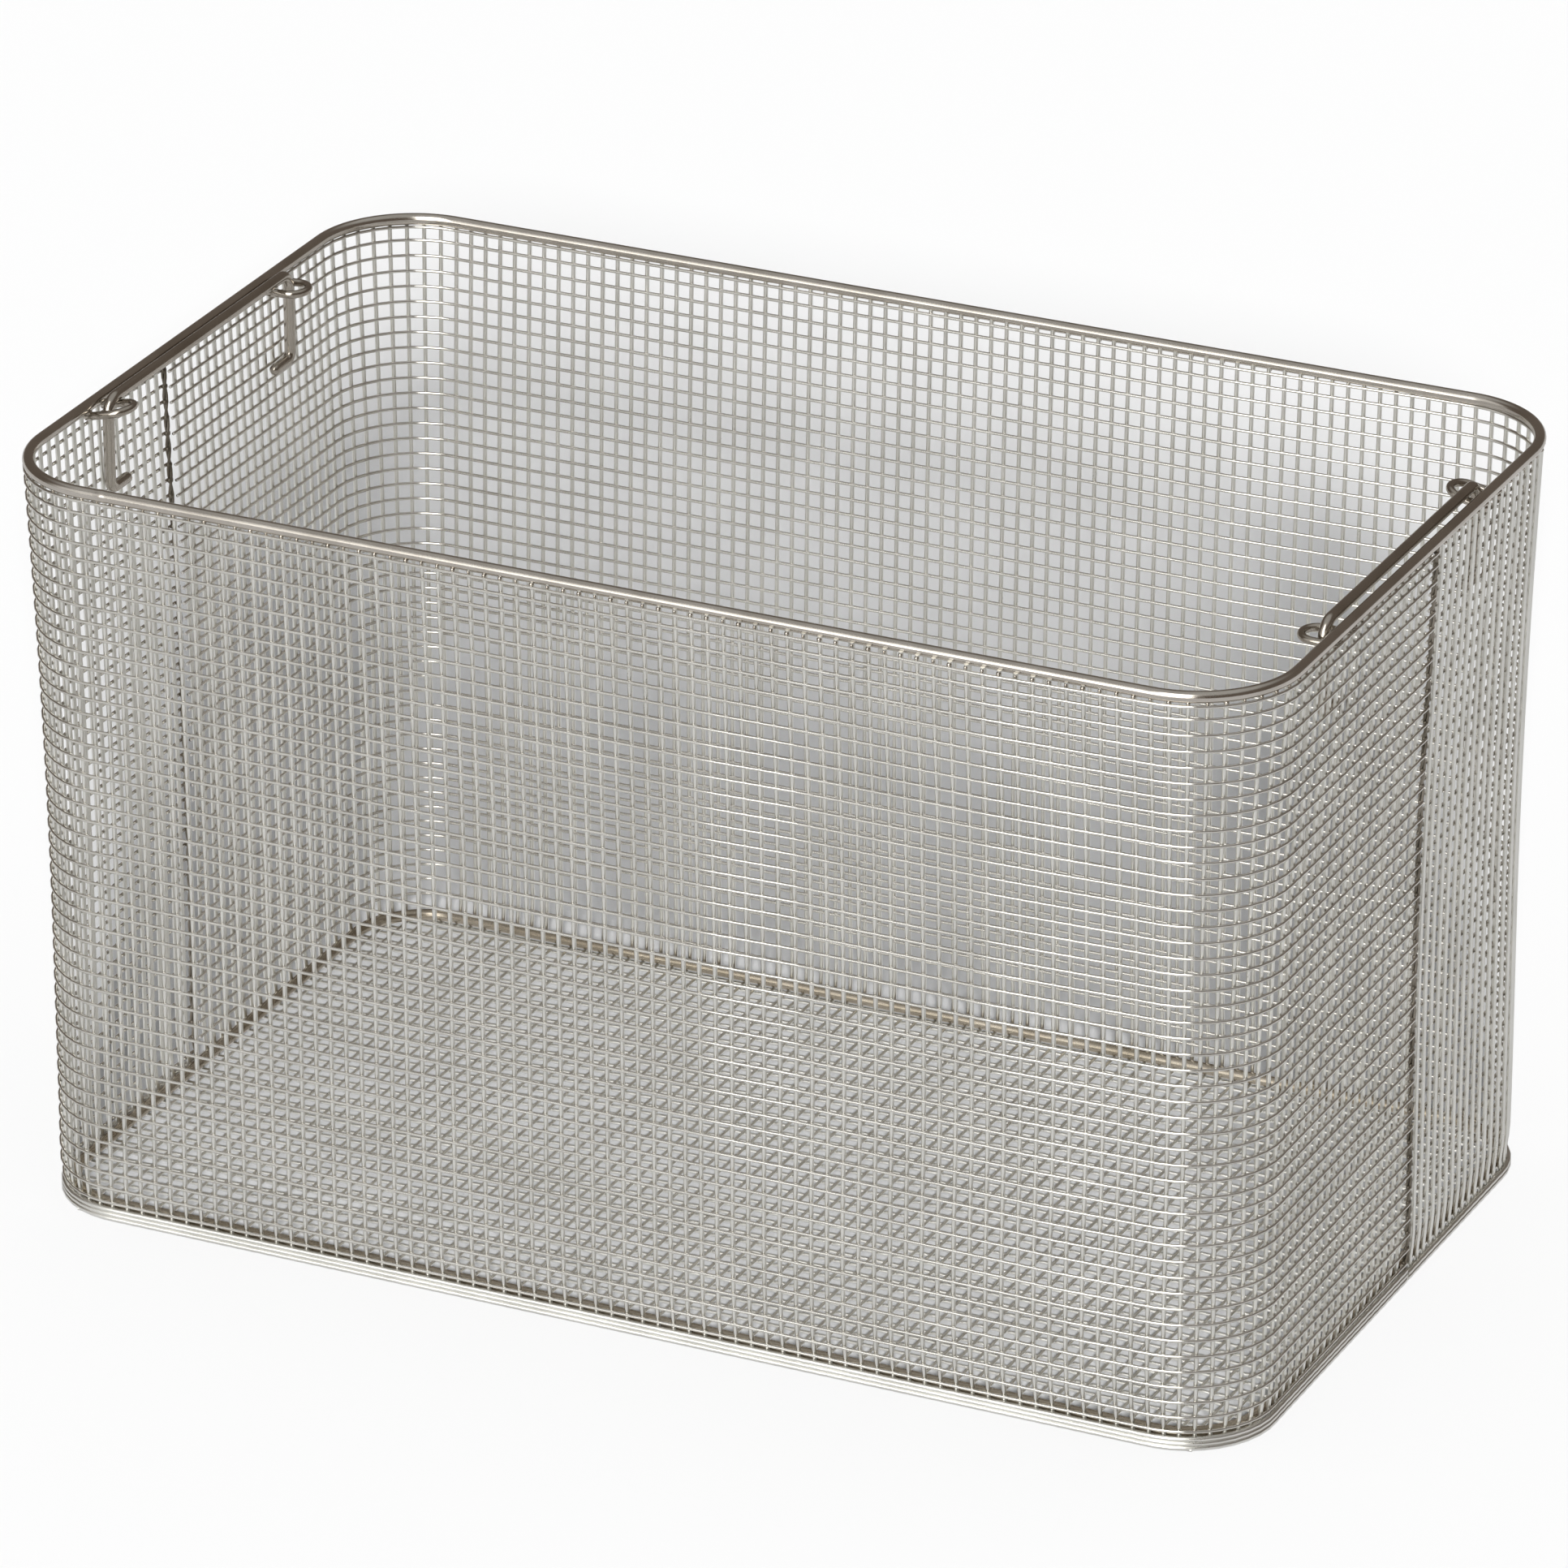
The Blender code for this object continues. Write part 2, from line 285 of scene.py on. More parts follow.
def small_waves(along, height, shift):
    """Shallow waves some centimetres long, which cover a whole sheet."""
    wave = math.sin(along * 47 + height * 9 + 0.6 + shift) * math.cos(height * 13 - along * 6)
    fine = math.sin(along * 101 - height * 31 + shift)
    return WAVE_SIZE * wave + FINE_WAVE_SIZE * fine


def bulge(along, height, turned):
    """How far a sheet stands out at a place. The long wall's waves fade out round the corners."""
    place = along - FRONT_START - CORE_X
    held = min(CORE_X, max(-CORE_X, place))
    laid = back_waves(held) if turned else front_waves(held, height)
    fade = 1 - share_of(abs(place), CORE_X, CORE_X + RUN_CORNER)
    free = share_of(height, rod_high.z, WAVE_FOOT)
    return free * (laid * fade + small_waves(along, height, BACK_SHIFT if turned else 0))


def on_sheet(along, height, out, turned=False):
    """The point at a distance along the sheet, at a height and outwards from its middle."""
    radius = wall_radius(height) + out + bulge(along, height, turned)
    if along < CORNER_START:
        x = -CORE_X - radius
        y = -SEAM_OFFSET - SEAM_HALF_GAP - along
    elif along < FRONT_START:
        angle = math.pi + math.pi / 2 * (along - CORNER_START) / RUN_CORNER
        x = -CORE_X + radius * math.cos(angle)
        y = -CORE_Y + radius * math.sin(angle)
    elif along < SECOND_CORNER_START:
        x = -CORE_X + along - FRONT_START
        y = -CORE_Y - radius
    elif along < RIGHT_START:
        angle = math.pi * 3 / 2 + math.pi / 2 * (along - SECOND_CORNER_START) / RUN_CORNER
        x = CORE_X + radius * math.cos(angle)
        y = -CORE_Y + radius * math.sin(angle)
    else:
        x = CORE_X + radius
        y = -CORE_Y + along - RIGHT_START
    return Vector((-x, -y, height)) if turned else Vector((x, y, height))


corner_place = on_sheet(FRONT_START, 0.1, 0)
print("the front wall starts at", [round(value * 1000, 1) for value in corner_place])

# %% [markdown]
# ## The mesh of the walls
#
# The mesh has a wire about every 6 mm both ways. The uprights are 1.7 mm thick and the level wires
# 1.2 mm. In the photograph the level wires run unbroken across the uprights of the front wall, seen
# from outside, and of the back wall, seen from inside. So they lie outside the uprights on the
# front sheet and inside them on the back sheet. At each crossing a weld sinks the level wire a
# little into the upright, so between two uprights it bows away: that is why it glints in short
# dashes. The rows of the two sheets don't line up at the seams. The uprights reach into the
# underside of the rim. At the foot they pass the thick bottom wire on its outer side, and a few
# thicker level wires outside them close the edge of the mesh.

# %% Rows and uprights
MESH_WIRE = 0.0012
UPRIGHT_WIRE = 0.0017
MESH_PITCH = 0.00605
ROW_PITCH = 0.00602
WELD_SINK = 0.00010
BOW = 0.00013
UPRIGHT_OUT = -0.00055
ROW_APART = (UPRIGHT_WIRE + MESH_WIRE) / 2 - WELD_SINK
ROW_STEPS = 2
ROW_TOP_FRONT = 0.2782
ROW_TOP_BACK = 0.2778
ROW_UNDER_RIM = 0.2829
ROW_LOWEST_FRONT = 0.0050
ROW_LOWEST_BACK = rod_high.z + MESH_WIRE
FOOT_ROW_WIRE = 0.0020
FOOT_ROWS_FRONT = (0.0011, 0.0028, 0.0045)
FOOT_ROWS_BACK = FOOT_ROWS_FRONT[:2]
UPRIGHT_FOOT = 0.0018
UPRIGHT_TOP = RIM_Z - 0.0009
UPRIGHT_STEPS = 20

upright_count = round(SHEET_LENGTH / MESH_PITCH)
upright_step = SHEET_LENGTH / upright_count


def row_heights(top, lowest):
    """Heights of the level wires of a sheet, from the one under the rim down to the foot."""
    heights = [ROW_UNDER_RIM]
    height = top
    while height > lowest:
        heights.append(height)
        height -= ROW_PITCH
    return heights


def row_line(height, turned, inside=False):
    """One level wire: it is pinched at each upright and bows away from them in between."""
    line = []
    for index in range(ROW_STEPS * upright_count + 1):
        apart = ROW_APART if index % ROW_STEPS == 0 else ROW_APART + BOW
        out = UPRIGHT_OUT - apart if inside else UPRIGHT_OUT + apart
        line.append(on_sheet(index * upright_step / ROW_STEPS, height, out, turned))
    return line


def upright_line(along, turned):
    """One upright, from its foot outside the bottom wire to the underside of the rim."""
    heights = [UPRIGHT_FOOT, rod_high.z, (rod_high.z + FOOT_LEAN_TOP) / 2, FOOT_LEAN_TOP]
    for step in range(1, UPRIGHT_STEPS + 1):
        heights.append(FOOT_LEAN_TOP + (UPRIGHT_TOP - FOOT_LEAN_TOP) * step / UPRIGHT_STEPS)
    return [on_sheet(along, height, UPRIGHT_OUT, turned) for height in heights]


mesh_pieces = {}
front_heights = row_heights(ROW_TOP_FRONT, ROW_LOWEST_FRONT)
back_heights = row_heights(ROW_TOP_BACK, ROW_LOWEST_BACK)
for side, turned, heights, foot_heights in (("front", False, front_heights, FOOT_ROWS_FRONT),
                                            ("back", True, back_heights, FOOT_ROWS_BACK)):
    rows = [row_line(height, turned, inside=turned) for height in heights]
    uprights = [upright_line(index * upright_step, turned) for index in range(1, upright_count)]
    foot_rows = [row_line(height, turned) for height in foot_heights]
    for kind, lines, diameter in (("_sheet_rows", rows, MESH_WIRE),
                                  ("_sheet_uprights", uprights, UPRIGHT_WIRE),
                                  ("_foot_rows", foot_rows, FOOT_ROW_WIRE)):
        mesh_pieces[side + kind] = tubes(side + kind, lines, diameter, MESH_ROUND)
    print(f"{side} sheet: {len(rows)} level wires and {len(uprights)} uprights")

# %% [markdown]
# ## The floor
#
# The floor is a third, flat sheet of mesh, cut to the basket's rounded outline. Its long wires lie
# lowest, on the table, and the short ones cross them on top. Each wire ends under the thick bottom
# wire, on a rounded outline that a square root gives. The outermost long wires run straight along
# the feet of both long walls, a little past the start of the bends.

# %% Floor wires
FLOOR_PAST_ROD = 0.0006
FLOOR_EDGE = ROD_BEND + ROD_WIRE / 2 + FLOOR_PAST_ROD
FLOOR_INSET = MESH_WIRE / 2
FLOOR_RIPPLE = 0.00012
EDGE_WIRE_RADIUS = 0.0300
EDGE_WIRE_PAST = 0.0155
LONG_WIRE_Z = MESH_WIRE / 2 + FLOOR_RIPPLE
SHORT_WIRE_Z = MESH_WIRE * 3 / 2 - WELD_SINK


def outline_reach(across, core_across, core_along):
    """How far the floor reaches along one axis, at a place across it."""
    beyond = max(0.0, abs(across) - core_across)
    return core_along + math.sqrt(max(0.0, FLOOR_EDGE ** 2 - beyond ** 2))


def floor_places(core):
    """Evenly spaced places of the floor's wires across the basket."""
    edge = core + FLOOR_EDGE - FLOOR_INSET
    count = round(2 * edge / MESH_PITCH)
    return [edge * (2 * index / count - 1) for index in range(count + 1)]


def floor_line(across, core_across, core_along, height, swap):
    """One floor wire with a point at each crossing and halfway between. Swap turns it to Y."""
    reach = outline_reach(across, core_across, core_along)
    steps = 2 * round(2 * reach / MESH_PITCH)
    line = []
    for step in range(steps + 1):
        along = reach * (2 * step / steps - 1)
        lift = height + (FLOOR_RIPPLE if step % 2 else 0) * (1 if swap else -1)
        line.append(Vector((across, along, lift)) if swap else Vector((along, across, lift)))
    return line


long_lines = []
for y in floor_places(CORE_Y)[1:-1]:
    long_lines.append(floor_line(y, CORE_Y, CORE_X, LONG_WIRE_Z, False))
for side in (-1, 1):
    y = side * (CORE_Y + EDGE_WIRE_RADIUS)
    reach = CORE_X + EDGE_WIRE_PAST
    long_lines.append([Vector((x, y, MESH_WIRE / 2)) for x in (-reach, reach)])
short_lines = []
for x in floor_places(CORE_X):
    short_lines.append(floor_line(x, CORE_X, CORE_Y, SHORT_WIRE_Z, True))
for name, lines in (("floor_long_wires", long_lines), ("floor_short_wires", short_lines)):
    mesh_pieces[name] = tubes(name, lines, MESH_WIRE, FLOOR_ROUND)
print(f"floor: {len(long_lines)} long wires and {len(short_lines)} short ones")

# %% [markdown]
# ## Small round lumps
#
# Welds, knots and drops of filler are small, and there are hundreds. Each is a low ball, pulled to
# an oval, and a whole family of them is one mesh: building it point by point is quicker than
# joining hundreds of objects.

# %% Beads
BEAD_SIDES = 8
BEAD_RINGS = 5


def beads(name, places):
    """One mesh of small ovals. Each place is a centre and three half sizes along X, Y and Z."""
    points = []
    faces = []
    for centre, half in places:
        start = len(points)
        points.append((centre[0], centre[1], centre[2] - half[2]))
        for ring in range(1, BEAD_RINGS):
            latitude = math.pi * ring / BEAD_RINGS
            for side in range(BEAD_SIDES):
                longitude = 2 * math.pi * side / BEAD_SIDES
                points.append((centre[0] + half[0] * math.sin(latitude) * math.cos(longitude),
                               centre[1] + half[1] * math.sin(latitude) * math.sin(longitude),
                               centre[2] - half[2] * math.cos(latitude)))
        points.append((centre[0], centre[1], centre[2] + half[2]))
        last = start + 1 + (BEAD_RINGS - 2) * BEAD_SIDES
        for side in range(BEAD_SIDES):
            follow = (side + 1) % BEAD_SIDES
            faces.append((start, start + 1 + follow, start + 1 + side))
            for low in range(start + 1, last, BEAD_SIDES):
                faces.append((low + side, low + follow,
                              low + follow + BEAD_SIDES, low + side + BEAD_SIDES))
            faces.append((last + side, last + follow, len(points) - 1))
    mesh = bpy.data.meshes.new(name)
    mesh.from_pydata(points, [], faces)
    mesh.shade_smooth()
    piece = bpy.data.objects.new(name, mesh)
    bpy.context.scene.collection.objects.link(piece)
    return piece


# %% [markdown]
# ## Where the mesh meets the rim
#
# A spot weld holds each upright to the rim's underside. It leaves a small bump that catches the
# light, just below the rim on its outer side. No two bumps are quite the same size.

# %% Welds under the rim
BUMP = 0.0008
BUMP_VARIES = 0.25
BUMP_ORDER = 2.4
BUMP_HEIGHT = RIM_UNDERSIDE + 0.0002
BUMP_OUT = UPRIGHT_OUT + UPRIGHT_WIRE / 3

bump_places = []
for turned in (False, True):
    for index in range(1, upright_count):
        swell = BUMP * (1 + BUMP_VARIES * math.sin(index * BUMP_ORDER))
        place = on_sheet(index * upright_step, BUMP_HEIGHT, BUMP_OUT, turned)
        bump_places.append((place, (swell, swell, BUMP)))
rim_welds = beads("rim_welds", bump_places)
print(f"{len(bump_places)} welds under the rim")

# %% [markdown]
# ## The seams
#
# At each seam the last uprights of both sheets lie side by side and twist about each other. The
# ends of the level wires are turned round them, which leaves a knot at each row. Two thin wires
# along a slow helix show the twist.

# %% Seam wires and knots
SEAM_WIRE = 0.0011
SEAM_TWIST = 0.00055
SEAM_TURN = 0.019
SEAM_SWAY = 0.0004
SEAM_SWAY_RATE = 60
SEAM_FOOT = NET_BAR
SEAM_STEPS = 120
KNOT_HALF_SIZES = (0.001045, 0.001425, 0.00095)


def seam_point(height, turned, phase):
    """A place on one of a seam's two twisted wires."""
    angle = 2 * math.pi * height / SEAM_TURN + phase
    place = on_sheet(SHEET_LENGTH, height, SEAM_TWIST * math.cos(angle), turned)
    sway = SEAM_SWAY * math.sin(height * SEAM_SWAY_RATE)
    sideways = SEAM_TWIST * math.sin(angle) + SEAM_HALF_GAP + sway
    return place + Vector((0, -sideways if turned else sideways, 0))


seam_heights = []
for step in range(SEAM_STEPS + 1):
    seam_heights.append(SEAM_FOOT + (UPRIGHT_TOP - SEAM_FOOT) * step / SEAM_STEPS)
for name, turned in (("right_seam", False), ("left_seam", True)):
    strands = []
    for phase in (0, math.pi):
        strands.append([seam_point(height, turned, phase) for height in seam_heights])
    mesh_pieces[name] = tubes(name, strands, SEAM_WIRE, MESH_ROUND)

knot_places = []
for turned in (False, True):
    for height in front_heights + back_heights:
        centre = (seam_point(height, turned, 0) + seam_point(height, turned, math.pi)) / 2
        knot_places.append((centre, KNOT_HALF_SIZES))
seam_knots = beads("seam_knots", knot_places)
print(f"{len(knot_places)} knots on two seams")

# %% [markdown]
# ## Rim and bottom wire
#
# Both are one thick wire, bent to a rounded rectangle and welded into a ring. They keep the
# frame's place and thickness, with more points in the bends, so the tube looks round from near by.
# The rim's butt weld is ground almost flush: it shows as a swelling a few millimetres long.

# %% Thick rings
RING_STEPS = 24
RIM_WELD_X = -0.196
RIM_WELD_LENGTH = 0.005
RIM_WELD_SWELL = 0.05
RIM_WELD_STEPS = 8


def ring_line(radius, height, weld_x=None):
    """A closed rounded rectangle, with a swelling on its front run if a place is given."""
    line = []
    for x, y, arm in ((1, 1, (radius, 0)), (-1, 1, (0, radius)),
                      (-1, -1, (-radius, 0)), (1, -1, (0, -radius))):
        for a, b in arc((x * CORE_X, y * CORE_Y), arm, math.pi / 2, RING_STEPS):
            line.append((a, b, height, 1))
        if weld_x is not None and (x, y) == (-1, -1):
            for step in range(RIM_WELD_STEPS + 1):
                share = step / RIM_WELD_STEPS
                swell = 1 + RIM_WELD_SWELL * math.sin(math.pi * share) ** 2
                place = weld_x + RIM_WELD_LENGTH * (share - 0.5)
                line.append((place, -CORE_Y - radius, height, swell))
    return line


rim_line = ring_line(RIM_BEND, RIM_Z, RIM_WELD_X)
rod_line = ring_line(ROD_BEND, ROD_Z)
rim = tubes("rim_ring", [rim_line], RIM_WIRE, RING_ROUND, closed=True)
rod = tubes("bottom_ring", [rod_line], ROD_WIRE, RING_ROUND, closed=True)
print(f"rings of {len(rim_line)} and {len(rod_line)} points")

# %% [markdown]
# ## Handles
#
# A handle is one bent wire: a foot, a leg, the grip along the rim, the other leg and its foot. It
# hangs in its eyes and slides up until the feet catch under them. The bends repeat the frame's,
# with more points.

# %% Handles
handle_low, handle_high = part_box("right_handle")
HANDLE_WIRE = handle_high.x - handle_low.x
GRIP_BEND = 0.006
FOOT_BEND = 0.0035
FOOT_LENGTH = 0.014
BEND_STEPS = 12


def handle_line(low, high, x):
    """The handle's wire inside the box of its node, foot to foot."""
    leg = (high.y - low.y) / 2 - HANDLE_WIRE / 2
    foot_z = low.z + HANDLE_WIRE / 2
    grip_z = high.z - HANDLE_WIRE / 2
    foot_bend = (leg - FOOT_BEND, foot_z + FOOT_BEND)
    grip_bend = (leg - GRIP_BEND, grip_z - GRIP_BEND)
    half = [(leg - FOOT_LENGTH, foot_z)]
    half += arc(foot_bend, (0, -FOOT_BEND), math.pi / 2, BEND_STEPS)
    half += arc(grip_bend, (GRIP_BEND, 0), math.pi / 2, BEND_STEPS)
    other_half = [(-y, z) for y, z in reversed(half)]
    return [Vector((x, y, z)) for y, z in half + other_half]


handles = {}
for side in ("right", "left"):
    low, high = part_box(side + "_handle")
    line = rounded_ends(handle_line(low, high, (low.x + high.x) / 2), HANDLE_WIRE)
    handles[side] = tubes(side + "_handle_wire", [line], HANDLE_WIRE, HANDLE_ROUND)
    print(f"{side} handle grip at {high.z * 1000:.1f} mm")

# %% [markdown]
# ## Handle eyes
#
# Each eye is a hairpin of thinner wire. Its round end sticks into the basket and holds a handle
# leg, its two arms pass under the rim and through the mesh, and they are welded there. Their cut
# ends show outside as short stubs.

# %% Eyes
EYE_WIRE = 0.003
EYE_STEPS = 24
EYE_TAIL = 0.0016
FILLET_HALF_SIZES = (RIM_WIRE * 0.45, EYE_WIRE * 0.62, 0.0011)

eyes = []
eye_welds = []
for name in ("right_front", "right_back", "left_front", "left_back"):
    low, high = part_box(name + "_handle_eye")
    end = 1 if low.x > 0 else -1
    middle_y = (low.y + high.y) / 2
    bend = (high.y - low.y) / 2 - EYE_WIRE / 2
    inner_x = min(abs(low.x), abs(high.x)) + EYE_WIRE / 2
    outer_x = max(abs(low.x), abs(high.x))
    top_z = high.z - EYE_WIRE / 2
    slope = (high.z - low.z - EYE_WIRE) / (outer_x - inner_x)
    level = [(outer_x + EYE_TAIL, -bend)]
    level += arc((inner_x + bend, 0), (0, -bend), -math.pi, EYE_STEPS)
    level.append((outer_x + EYE_TAIL, bend))
    line = [Vector((end * x, middle_y + y, top_z - (x - inner_x) * slope)) for x, y in level]
    eye = tubes(name + "_eye", [rounded_ends(line, EYE_WIRE)], EYE_WIRE, HANDLE_ROUND)
    eyes.append((eye, name + "_handle_eye"))
    for y in (-bend, bend):
        place = (end * (rim_high.x - RIM_WIRE / 2), middle_y + y, RIM_UNDERSIDE)
        eye_welds.append((place, FILLET_HALF_SIZES))
weld_fillets = beads("eye_welds", eye_welds)
print(f"{len(eyes)} eyes")

# %% [markdown]
# ## Writing shaders as sums
#
# A material is a graph of nodes. Wrapping a socket in a small class lets sums on it add the Math
# nodes, so a mask reads like the formula that it is. Any other node comes from one method, which
# takes its type, its settings and what its sockets get.

# %% The socket class
class Shade:
    """A socket of a shader graph that can be used in sums."""

    def __init__(self, tree, socket=None):
        self.tree = tree
        self.socket = socket

    def node(self, kind, settings, values, output=0):
        """Add a node, set it up, connect or fill its sockets and return one of its outputs."""
        made = self.tree.nodes.new(kind)
        for name, value in settings.items():
            setattr(made, name, value)
        for name, value in values.items():
            if isinstance(value, Shade):
                self.tree.links.new(value.socket, made.inputs[name])
            else:
                made.inputs[name].default_value = value
        return Shade(self.tree, made.outputs[output]) if made.outputs else None

    def output(self, name):
        """Another output of the node that this socket is on."""
        return Shade(self.tree, self.socket.node.outputs[name])

    def maths(self, operation, *values):
        """Add a Math node on up to three values."""
        return self.node("ShaderNodeMath", {"operation": operation}, dict(enumerate(values)))

    def __add__(self, other):
        return self.maths("ADD", self, other)

    def __sub__(self, other):
        return self.maths("SUBTRACT", self, other)

    def __rsub__(self, other):
        return self.maths("SUBTRACT", other, self)

    def __mul__(self, other):
        return self.maths("MULTIPLY", self, other)

    __radd__ = __add__
    __rmul__ = __mul__

    def between(self, low, high):
        """0 below low, 1 above high and a smooth rise between."""
        return self.node("ShaderNodeMapRange", {"interpolation_type": "SMOOTHSTEP"},
                         {"Value": self, "From Min": low, "From Max": high})

    def mix(self, first, second):
        """A colour between two, by this value."""
        return self.node("ShaderNodeMix", {"data_type": "RGBA"},
                         {0: self, 6: first, 7: second}, 2)

    def choose(self, first, second):
        """A shader between two, by this value."""
        return self.node("ShaderNodeMixShader", {}, {0: self, 1: first, 2: second})


# %% [markdown]
# ## Steel
#
# All of it is bare stainless steel: a metal, so its colour is the colour of its reflections. The
# seven steels differ in tone and polish. The level wires of the walls are the smoothest, because
# they have to flash. The other mesh wires are palest and rougher, so they look evenly grey. The
# thick wires are electropolished and slightly warm, and the bottom wire is darker and browner than
# the rim. Welds are darker and browner from the heat, and the seams are darker and browner still.
# Two kinds of variation keep each steel real: clouds of slightly different polish, some
# centimetres wide, and a fine grain that only shows close by.

# %% One steel for each kind of wire
CLOUD_SCALE = 42.0
CLOUD_DETAIL = 3.0
CLOUD_EDGES = (0.35, 0.65)
CLOUD_ROUGHNESS = 0.3
GRAIN_DETAIL = 2.0
GRAIN_ROUGHNESS = 0.2
GRAIN_BUMP = 0.03
GRAIN_DEPTH = 0.0001


def colour(red, green, blue):
    """An opaque colour from linear values."""
    return (red, green, blue, 1)


def steel(name, pale, dark, roughness, grain):
    """Bare steel between two tones, with cloudy polish and fine grain."""
    material = bpy.data.materials.new(name)
    material.use_nodes = True
    tree = material.node_tree
    tree.nodes.clear()
    start = Shade(tree)
    place = start.node("ShaderNodeTexCoord", {}, {}, "Object")
    clouds = start.node("ShaderNodeTexNoise", {}, {
        "Vector": place, "Scale": CLOUD_SCALE, "Detail": CLOUD_DETAIL})
    fine = start.node("ShaderNodeTexNoise", {}, {
        "Vector": place, "Scale": grain, "Detail": GRAIN_DETAIL})
    tone = clouds.between(*CLOUD_EDGES).mix(colour(*dark), colour(*pale))
    uneven = CLOUD_ROUGHNESS * (clouds - 0.5) + GRAIN_ROUGHNESS * (fine - 0.5)
    bump = start.node("ShaderNodeBump", {}, {
        "Height": fine, "Strength": GRAIN_BUMP, "Distance": GRAIN_DEPTH})
    shader = start.node("ShaderNodeBsdfPrincipled", {}, {
        "Base Color": tone, "Roughness": roughness * (1 + uneven), "Metallic": 1.0,
        "Normal": bump})
    start.node("ShaderNodeOutputMaterial", {}, {"Surface": shader})
    return material


row_steel = steel("row_steel", (0.74, 0.72, 0.68), (0.66, 0.64, 0.60), 0.12, 1400.0)
mesh_steel = steel("mesh_steel", (0.84, 0.83, 0.79), (0.77, 0.76, 0.72), 0.30, 1400.0)
thick_steel = steel("thick_steel", (0.60, 0.56, 0.51), (0.52, 0.48, 0.43), 0.17, 900.0)
rod_steel = steel("rod_steel", (0.46, 0.41, 0.34), (0.37, 0.32, 0.25), 0.22, 900.0)
handle_steel = steel("handle_steel", (0.50, 0.46, 0.41), (0.42, 0.38, 0.33), 0.18, 900.0)
seam_steel = steel("seam_steel", (0.30, 0.27, 0.23), (0.17, 0.15, 0.12), 0.34, 1400.0)
weld_steel = steel("weld_steel", (0.60, 0.56, 0.50), (0.44, 0.40, 0.35), 0.24, 1800.0)
print(f"{len(bpy.data.materials)} materials with those of the frame")

# %% [markdown]
# ## Which steel goes where
#
# Every piece gets its steel and the body that carries it. All but the handles ride on the basket.

# %% Dress the pieces
def dress(piece, material, body="basket"):
    """Give a piece its steel and its place on a body."""
    piece.data.materials.append(material)
    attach(piece, body)


for name, piece in mesh_pieces.items():
    if name.endswith("seam"):
        dress(piece, seam_steel)
    elif name.endswith("sheet_rows"):
        dress(piece, row_steel)
    else:
        dress(piece, mesh_steel)
dress(rim, thick_steel)
dress(rod, rod_steel)
dress(rim_welds, weld_steel)
dress(seam_knots, seam_steel)
dress(weld_fillets, weld_steel)
for eye, node in eyes:
    dress(eye, handle_steel)
for side, handle in handles.items():
    dress(handle, handle_steel, side + "_handle_body")
print(f"dressed {len(mesh_pieces)} mesh pieces, {len(eyes)} eyes and {len(handles)} handles")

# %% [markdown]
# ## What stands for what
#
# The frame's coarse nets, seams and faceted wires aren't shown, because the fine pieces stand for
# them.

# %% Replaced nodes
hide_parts("front_wall_mesh", "front_left_corner_mesh",
            "front_right_corner_mesh", "left_wall_mesh_front", "right_wall_mesh_front")
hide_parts("back_wall_mesh", "back_left_corner_mesh",
            "back_right_corner_mesh", "left_wall_mesh_back", "right_wall_mesh_back")
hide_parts("floor_mesh")
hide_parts("right_seam_wire")
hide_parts("left_seam_wire")
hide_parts("rim_wire")
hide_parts("bottom_frame_wire")
for eye, node in eyes:
    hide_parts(node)
for side, handle in handles.items():
    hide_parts(side + "_handle")

# %% [markdown]
# ## The table
#
# The basket stands on a plain white table. Seen through two layers of mesh the table is half in
# shadow, which gives the grey inside the basket. The steel sees the table evenly lit: rays that
# reach the eye by way of steel find a plain grey there, as if the light came from all round.

# %% Rays that reach the eye by way of polished steel
def first_mirror(start):
    """1 for a ray that the camera sees in steel, 0 for one that has lit a dull surface."""
    glossy = start.node("ShaderNodeLightPath", {}, {}, "Is Glossy Ray")
    return glossy * start.maths("LESS_THAN", glossy.output("Diffuse Depth"), 0.5)


# %% Floor
FLOOR_HALF = 7.0
TABLE_WHITE = 0.90
TABLE_ROUGHNESS = 0.9
TABLE_SHEEN = 0.1
TABLE_IN_STEEL = 0.70

corners = [(x * FLOOR_HALF, y * FLOOR_HALF, 0) for x, y in ((-1, -1), (1, -1), (1, 1), (-1, 1))]
floor_mesh = bpy.data.meshes.new("table")
floor_mesh.from_pydata(corners, [], [(0, 1, 2, 3)])
table = bpy.data.objects.new("table", floor_mesh)
bpy.context.scene.collection.objects.link(table)
table_material = bpy.data.materials.new("white_table")
table_material.use_nodes = True
table_tree = table_material.node_tree
table_shader = table_tree.nodes["Principled BSDF"]
table_shader.inputs["Base Color"].default_value = colour(TABLE_WHITE, TABLE_WHITE, TABLE_WHITE)
table_shader.inputs["Roughness"].default_value = TABLE_ROUGHNESS
table_shader.inputs["Specular IOR Level"].default_value = TABLE_SHEEN
floor_mesh.materials.append(table_material)
lit = Shade(table_tree, table_shader.outputs[0])
plain = lit.node("ShaderNodeEmission", {}, {
    "Color": colour(TABLE_IN_STEEL, TABLE_IN_STEEL, TABLE_IN_STEEL), "Strength": 1.0})
table_look = first_mirror(lit).choose(lit, plain)
table_tree.links.new(table_look.socket, table_tree.nodes["Material Output"].inputs[0])
print(f"table {2 * FLOOR_HALF:.0f} m wide")

# %% [markdown]
# ## The lamp
#
# One broad lamp lights the basket from where the camera is, so its shadow falls behind it. Its
# light doesn't bounce on and isn't mirrored in the steel: the room does that.

# %% Lamp
LAMP_POWER = 7.2
LAMP_SPREAD = math.radians(9)

